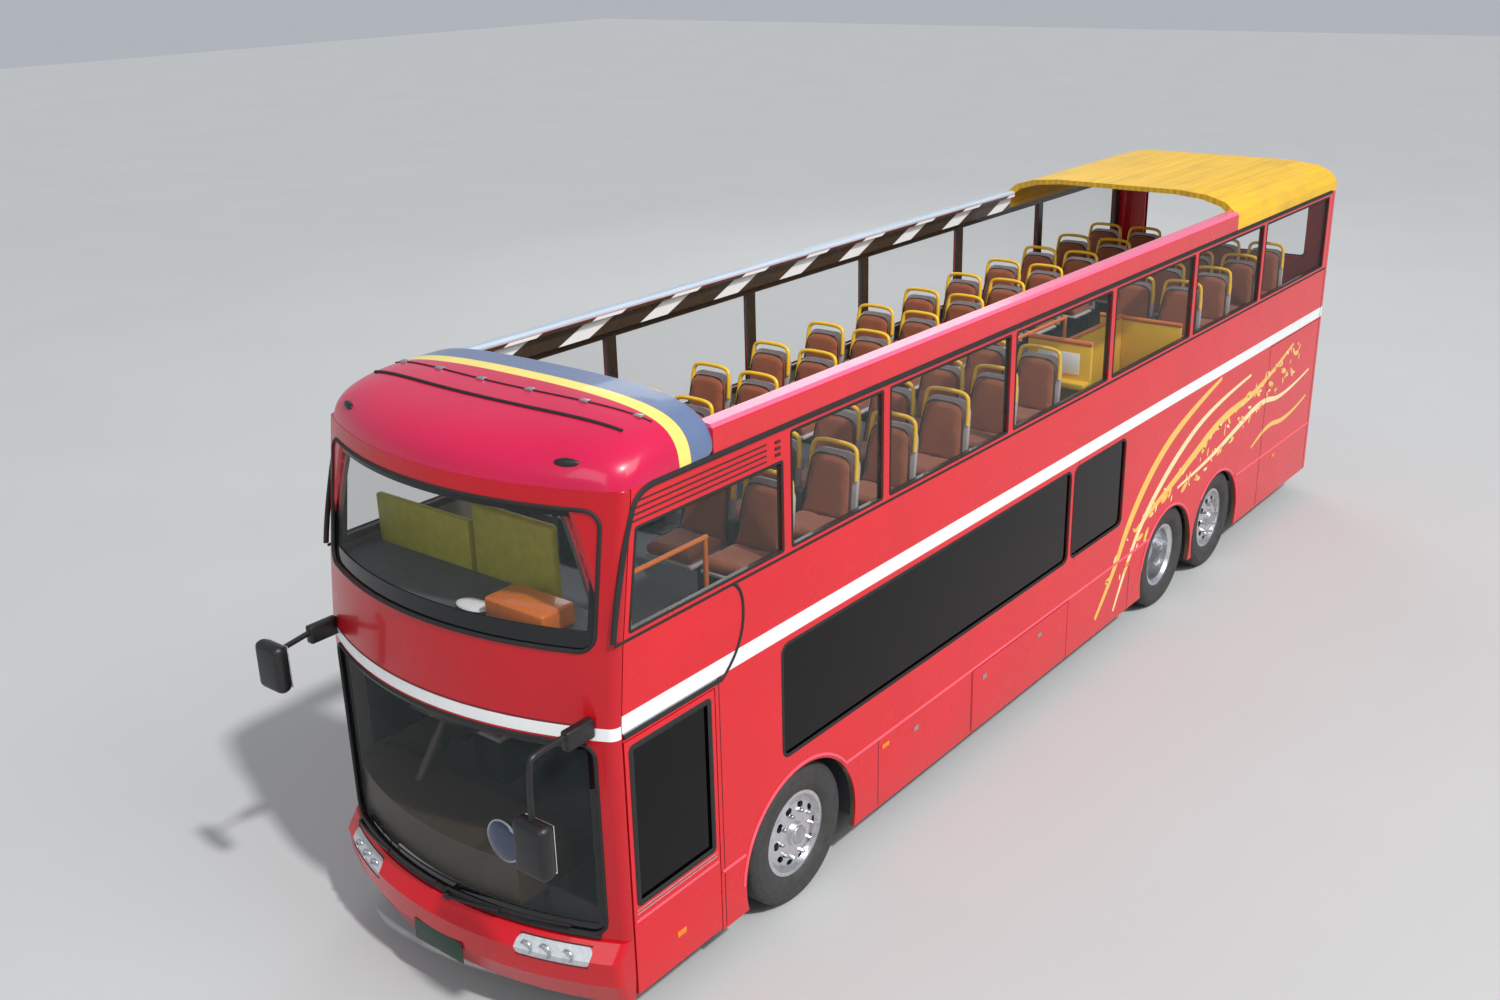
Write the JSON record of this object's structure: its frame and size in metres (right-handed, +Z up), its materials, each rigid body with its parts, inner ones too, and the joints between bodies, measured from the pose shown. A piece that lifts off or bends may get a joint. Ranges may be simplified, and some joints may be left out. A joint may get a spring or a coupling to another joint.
{
  "type": "open top double decker bus",
  "caption": "Three-axle open top double decker bus with a front roof cap, rear roof, steered front wheels, swing-out entrance door and opening lids.",
  "frame": {"origin": "on the road under the middle of the bus, halfway between tail and mirrors", "axes": "+X forwards, +Y to the bus's left, +Z up"},
  "size_m": [12.18, 2.51, 3.78],
  "materials": {
    "red_paint": "gloss",
    "roof_paint": "satin",
    "rail_paint": "gloss",
    "clear_glass": "clear",
    "dark_glass": "gloss",
    "lamp_lens": "gloss",
    "black_trim": "matte",
    "chassis_paint": "satin",
    "floor_vinyl": "matte",
    "seat_cover": "matte",
    "orange_tube": "gloss",
    "engine_iron": "rough",
    "alloy": "polished",
    "tyre_rubber": "matte"
  },
  "bodies": {
    "body": {"front_frame": "red_paint", "windscreens": "clear_glass", "bumper": "red_paint", "lamps": "lamp_lens", "front_roof": "red_paint", "rear_roof": "roof_paint", "lower_side_left": "red_paint", "lower_side_right": "red_paint", "upper_side_left": "red_paint", "upper_side_right": "red_paint", "upper_glass": "clear_glass", "lower_glass": "dark_glass", "top_rails": "rail_paint", "rear_wall": "red_paint", "lower_floor": "floor_vinyl", "upper_floor": "floor_vinyl", "underframe": "chassis_paint", "engine_block": "engine_iron", "axles": "chassis_paint", "seats": "seat_cover", "dashboard": "black_trim", "handrails": "orange_tube", "mirrors": "black_trim", "wipers": "black_trim"},
    "knuckle_left": {"knuckle_left": "chassis_paint"},
    "knuckle_right": {"knuckle_right": "chassis_paint"},
    "door_post": {"door_post": "black_trim"},
    "door": {"door_leaf": "red_paint", "door_glass": "dark_glass"},
    "locker_lid": {"locker_lid": "red_paint"},
    "engine_lid": {"engine_lid": "red_paint"},
    "exit_door": {"exit_door": "red_paint"},
    "front_wheel_left": {"front_rim_left": "alloy", "front_tyre_left": "tyre_rubber"},
    "tag_wheel_left": {"tag_rim_left": "alloy", "tag_tyre_left": "tyre_rubber"},
    "drive_wheels_left": {"drive_rims_left": "alloy", "drive_tyres_left": "tyre_rubber"},
    "front_wheel_right": {"front_rim_right": "alloy", "front_tyre_right": "tyre_rubber"},
    "tag_wheel_right": {"tag_rim_right": "alloy", "tag_tyre_right": "tyre_rubber"},
    "drive_wheels_right": {"drive_rims_right": "alloy", "drive_tyres_right": "tyre_rubber"}
  },
  "joints": [
    {"name": "steer_left", "type": "hinge", "parent": "body", "child": "knuckle_left", "pos_m": [3.77, 0.918, 0.505], "axis": [0, 0, 1], "range_deg": [-40, 40]},
    {"name": "front_spin_left", "type": "hinge", "parent": "knuckle_left", "child": "front_wheel_left", "pos_m": [3.77, 1.0775, 0.505], "axis": [0, 1, 0], "continuous": true},
    {"name": "drive_spin_left", "type": "hinge", "parent": "body", "child": "drive_wheels_left", "pos_m": [-2.09, 0.9225, 0.505], "axis": [0, 1, 0], "continuous": true},
    {"name": "tag_spin_left", "type": "hinge", "parent": "body", "child": "tag_wheel_left", "pos_m": [-3.27, 1.0775, 0.505], "axis": [0, 1, 0], "continuous": true},
    {"name": "steer_right", "type": "hinge", "parent": "body", "child": "knuckle_right", "pos_m": [3.77, -0.918, 0.505], "axis": [0, 0, 1], "range_deg": [-40, 40]},
    {"name": "front_spin_right", "type": "hinge", "parent": "knuckle_right", "child": "front_wheel_right", "pos_m": [3.77, -1.0775, 0.505], "axis": [0, 1, 0], "continuous": true},
    {"name": "drive_spin_right", "type": "hinge", "parent": "body", "child": "drive_wheels_right", "pos_m": [-2.09, -0.9225, 0.505], "axis": [0, 1, 0], "continuous": true},
    {"name": "tag_spin_right", "type": "hinge", "parent": "body", "child": "tag_wheel_right", "pos_m": [-3.27, -1.0775, 0.505], "axis": [0, 1, 0], "continuous": true},
    {"name": "entrance_post_turn", "type": "hinge", "parent": "body", "child": "door_post", "pos_m": [5.365, 1.15, 1.2], "axis": [0, 0, -1], "range_deg": [0, 163]},
    {"name": "entrance_leaf_turn", "type": "hinge", "parent": "door_post", "child": "door", "pos_m": [4.89564, 1.1254, 1.2], "axis": [0, 0, -1], "range_deg": [-163, 0]},
    {"name": "locker_hinge", "type": "hinge", "parent": "body", "child": "locker_lid", "pos_m": [0.76, 1.235, 0.795], "axis": [1, 0, 0], "range_deg": [0, 90]},
    {"name": "engine_lid_hinge", "type": "hinge", "parent": "body", "child": "engine_lid", "pos_m": [-6.08, 0, 1.49], "axis": [0, 1, 0], "range_deg": [0, 80]},
    {"name": "exit_hinge", "type": "hinge", "parent": "body", "child": "exit_door", "pos_m": [-0.29, -1.235, 1.145], "axis": [0, 0, 1], "range_deg": [0, 90]}
  ],
  "couplings": [
    {"joint": "steer_right", "follows": "steer_left", "ratio": 1},
    {"joint": "entrance_leaf_turn", "follows": "entrance_post_turn", "ratio": -1}
  ]
}
